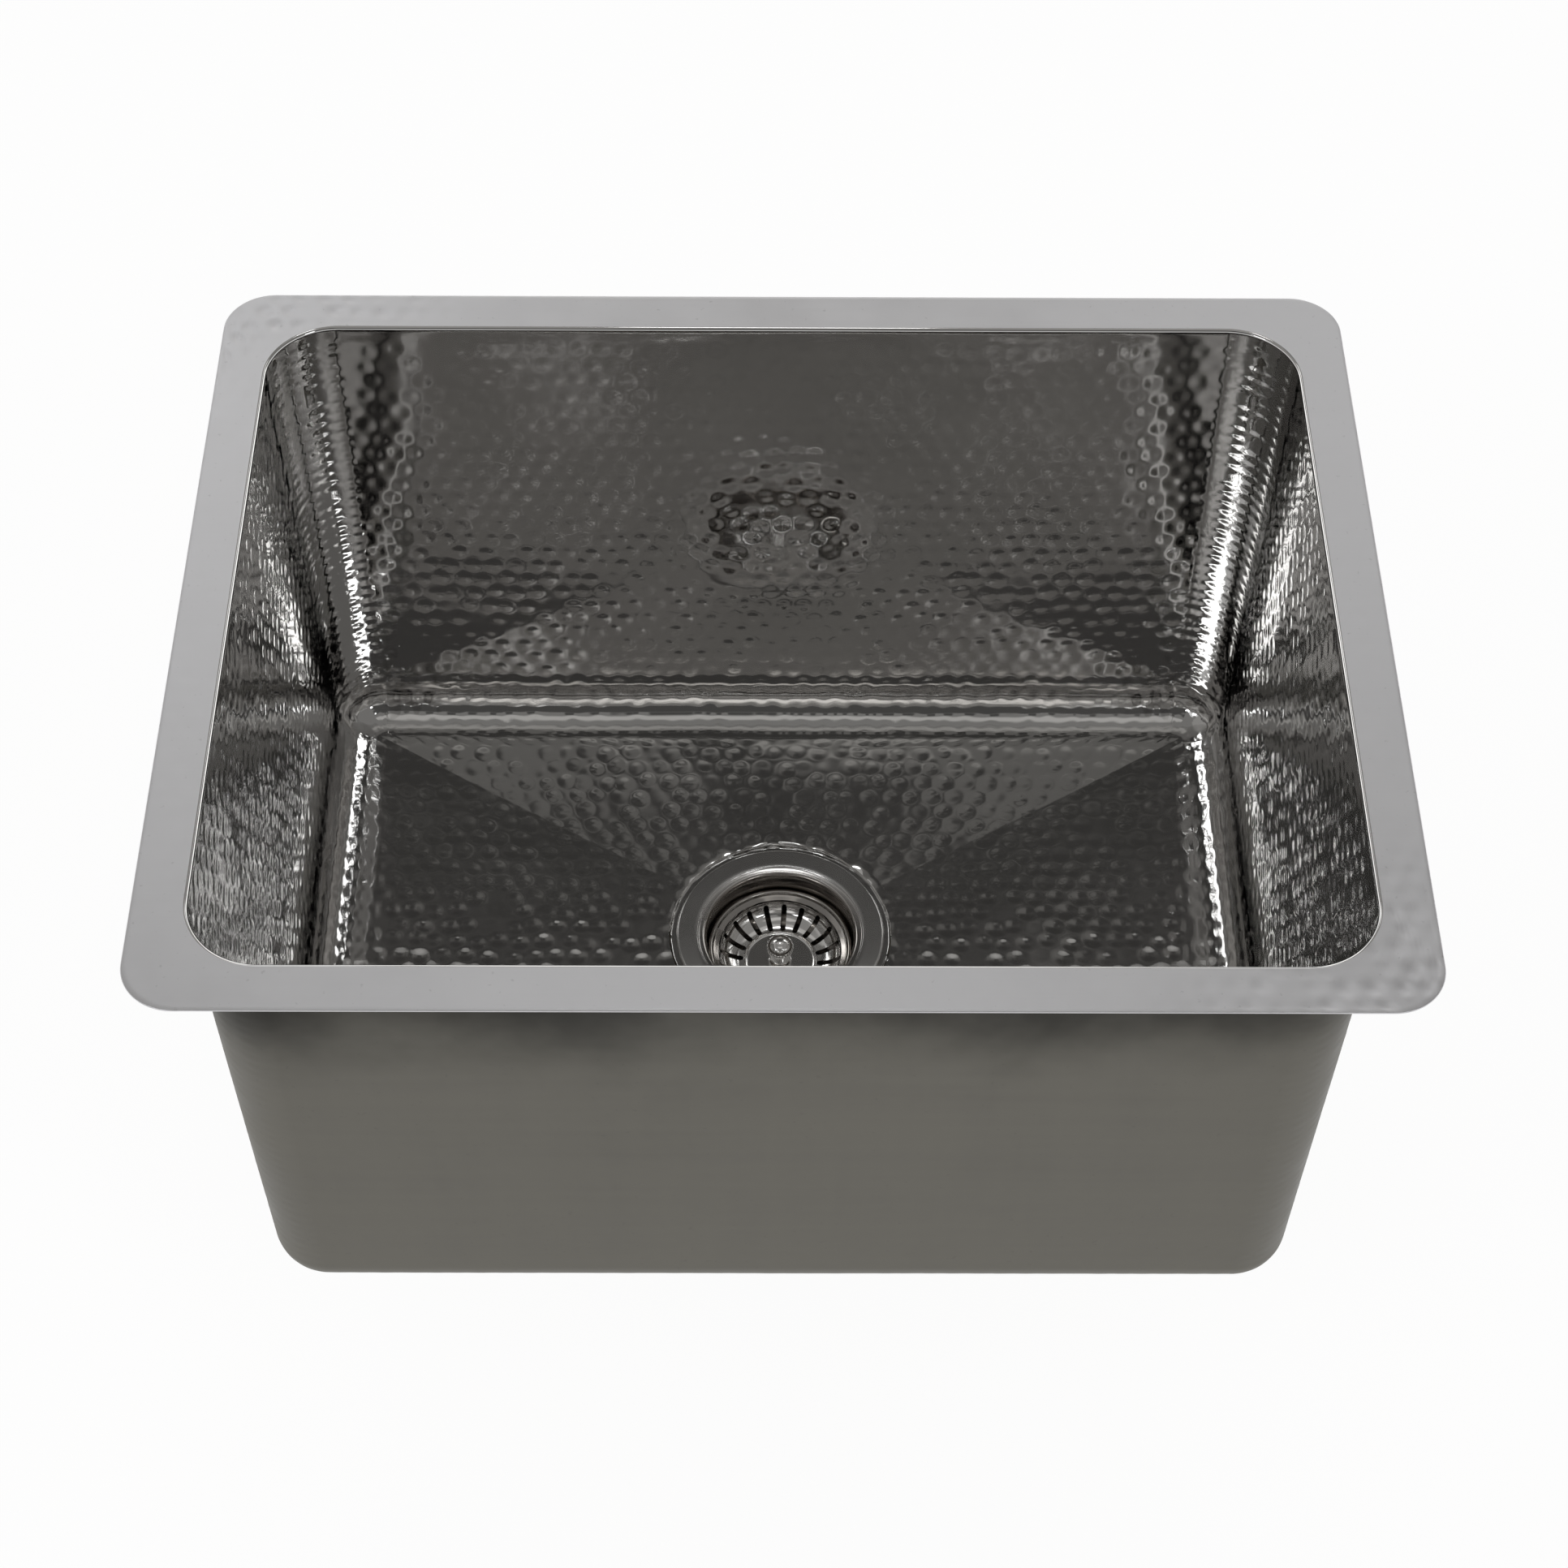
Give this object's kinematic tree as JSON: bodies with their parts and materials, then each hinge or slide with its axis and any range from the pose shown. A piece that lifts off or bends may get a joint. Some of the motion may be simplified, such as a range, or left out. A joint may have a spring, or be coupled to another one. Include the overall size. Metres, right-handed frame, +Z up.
{
  "type": "kitchen sink",
  "caption": "Deep rectangular undermount kitchen sink in hammered stainless steel, with a flat rim, a creased floor, a lift-out basket strainer and a drain tailpiece.",
  "frame": {"origin": "centre of the rim's top face, which is the face that meets the underside of the worktop", "axes": "+X along the rim's length to the right, +Y to the back, +Z up out of the bowl"},
  "size_m": [0.5842, 0.4572, 0.4679],
  "materials": {
    "hammered_steel": "satin rim and outside, mirror polished hammered inside",
    "polished_steel": "polished",
    "plain_steel": "turned",
    "cast_zinc": "zinc, as cast",
    "plated_brass": "nickel plated, satin",
    "putty": "matte",
    "black_rubber": "matte",
    "fibre": "pressed fibre, matte",
    "white_plastic": "moulded"
  },
  "bodies": {
    "sink": {"sink_bowl": "hammered_steel", "strainer_body": "polished_steel", "cross_bar": "plain_steel", "flange_seal": "putty", "rubber_washer": "black_rubber", "friction_washer": "fibre", "lock_nut": "cast_zinc", "coupling_nut": "plated_brass", "tail_washer": "white_plastic", "tailpiece": "plated_brass"},
    "peg": {"snap_peg": "white_plastic"},
    "basket": {"basket": "polished_steel", "knob": "polished_steel", "stem": "plain_steel", "spacer": "white_plastic", "stopper_plate": "plain_steel", "stopper": "black_rubber"}
  },
  "joints": [
    {"name": "basket_lift", "type": "slide", "parent": "sink", "child": "peg", "axis": [0, 0, 1], "range_m": [0, 0.385]},
    {"name": "basket_turn", "type": "hinge", "parent": "peg", "child": "basket", "pos_m": [0, 0.034, -0.33], "axis": [0, 0, 1], "continuous": true}
  ]
}
